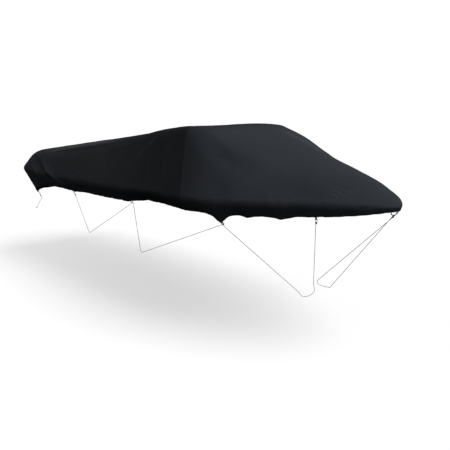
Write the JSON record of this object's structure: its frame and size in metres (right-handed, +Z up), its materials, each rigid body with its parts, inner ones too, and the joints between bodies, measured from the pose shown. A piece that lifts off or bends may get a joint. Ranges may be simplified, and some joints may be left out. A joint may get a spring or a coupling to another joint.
{
  "type": "fitted boat cover",
  "caption": "Black cloth boat cover, drawn over a hull and windscreen that are left out, with hem loops and taut tie cords.",
  "frame": {"origin": "on the centreline against the inner face of the cloth, over the windscreen's top rail, where the cover is highest", "axes": "+X to the bow, +Z up, -Y to the starboard side"},
  "size_m": [5.907, 2.0413, 1.6675],
  "materials": {
    "cover_cloth": "coated woven polyester, matt with a faint sheen",
    "black_tape": "matt woven tape",
    "tie_cord": "braided light grey cord"
  },
  "bodies": {
    "root": {"front_panel": "cover_cloth", "rear_panel": "cover_cloth", "hem_loop_stern_near": "black_tape", "hem_loop_aft_near": "black_tape", "hem_loop_mid_near": "black_tape", "hem_loop_fore_near": "black_tape", "hem_loop_quarter_near": "black_tape", "hem_loop_bow": "black_tape", "hem_loop_quarter_far": "black_tape", "hem_loop_fore_far": "black_tape", "hem_loop_mid_far": "black_tape", "hem_loop_aft_far": "black_tape", "hem_loop_stern_far": "black_tape", "slack_loop": "black_tape", "tie_side": "tie_cord", "tie_bow": "tie_cord", "tie_stern": "tie_cord"}
  },
  "joints": []
}
